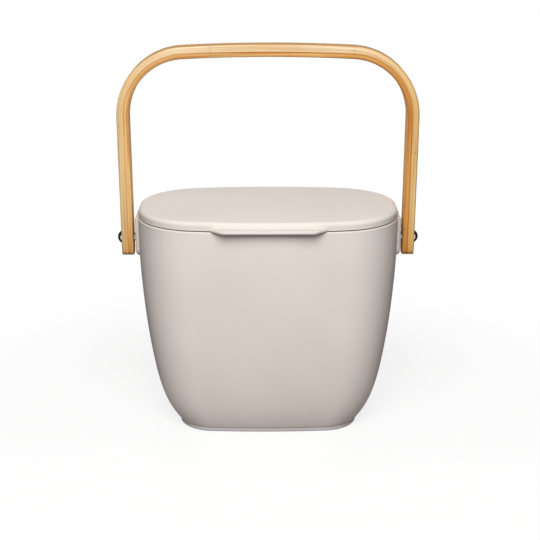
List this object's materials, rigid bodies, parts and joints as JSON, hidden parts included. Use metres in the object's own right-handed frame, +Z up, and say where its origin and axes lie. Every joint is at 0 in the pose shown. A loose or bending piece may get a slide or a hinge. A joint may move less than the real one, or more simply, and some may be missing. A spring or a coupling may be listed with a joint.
{
  "type": "countertop waste bin",
  "caption": "Free-standing kitchen waste bin: rounded tapering tub, rear-hinged lid with a front finger lip, and a tall arched bamboo handle that swings.",
  "frame": {"origin": "on the surface that the bin stands on, in the middle of the tub", "axes": "+Z up, -Y towards the front with the finger lip, +X to the right as seen from the front"},
  "size_m": [0.26, 0.1472, 0.3277],
  "materials": {
    "putty_plastic": "moulded polypropylene with a fine matt texture",
    "bamboo_face": "sanded and oiled bamboo",
    "bamboo_core": "caramelised bamboo, oiled",
    "polished_steel": "polished and plated",
    "plain_steel": "zinc plated"
  },
  "bodies": {
    "bin": {"tub": "putty_plastic", "hinge_pin": "plain_steel", "left_pivot_barrel": "polished_steel", "right_pivot_barrel": "polished_steel", "left_pivot_screw": "plain_steel", "right_pivot_screw": "plain_steel", "left_spacer": "plain_steel", "right_spacer": "plain_steel", "left_inner_washer": "plain_steel", "right_inner_washer": "plain_steel"},
    "cover": {"lid": "putty_plastic"},
    "handle": {"handle_outer_ply": "bamboo_face", "handle_inner_ply": "bamboo_core"}
  },
  "joints": [
    {"name": "lid_hinge", "type": "hinge", "parent": "bin", "child": "cover", "pos_m": [0, 0.0701, 0.183], "axis": [-1, 0, 0], "range_deg": [0, 100]},
    {"name": "handle_swing", "type": "hinge", "parent": "bin", "child": "handle", "pos_m": [0, 0, 0.164], "axis": [1, 0, 0], "range_deg": [-150, 150]}
  ]
}
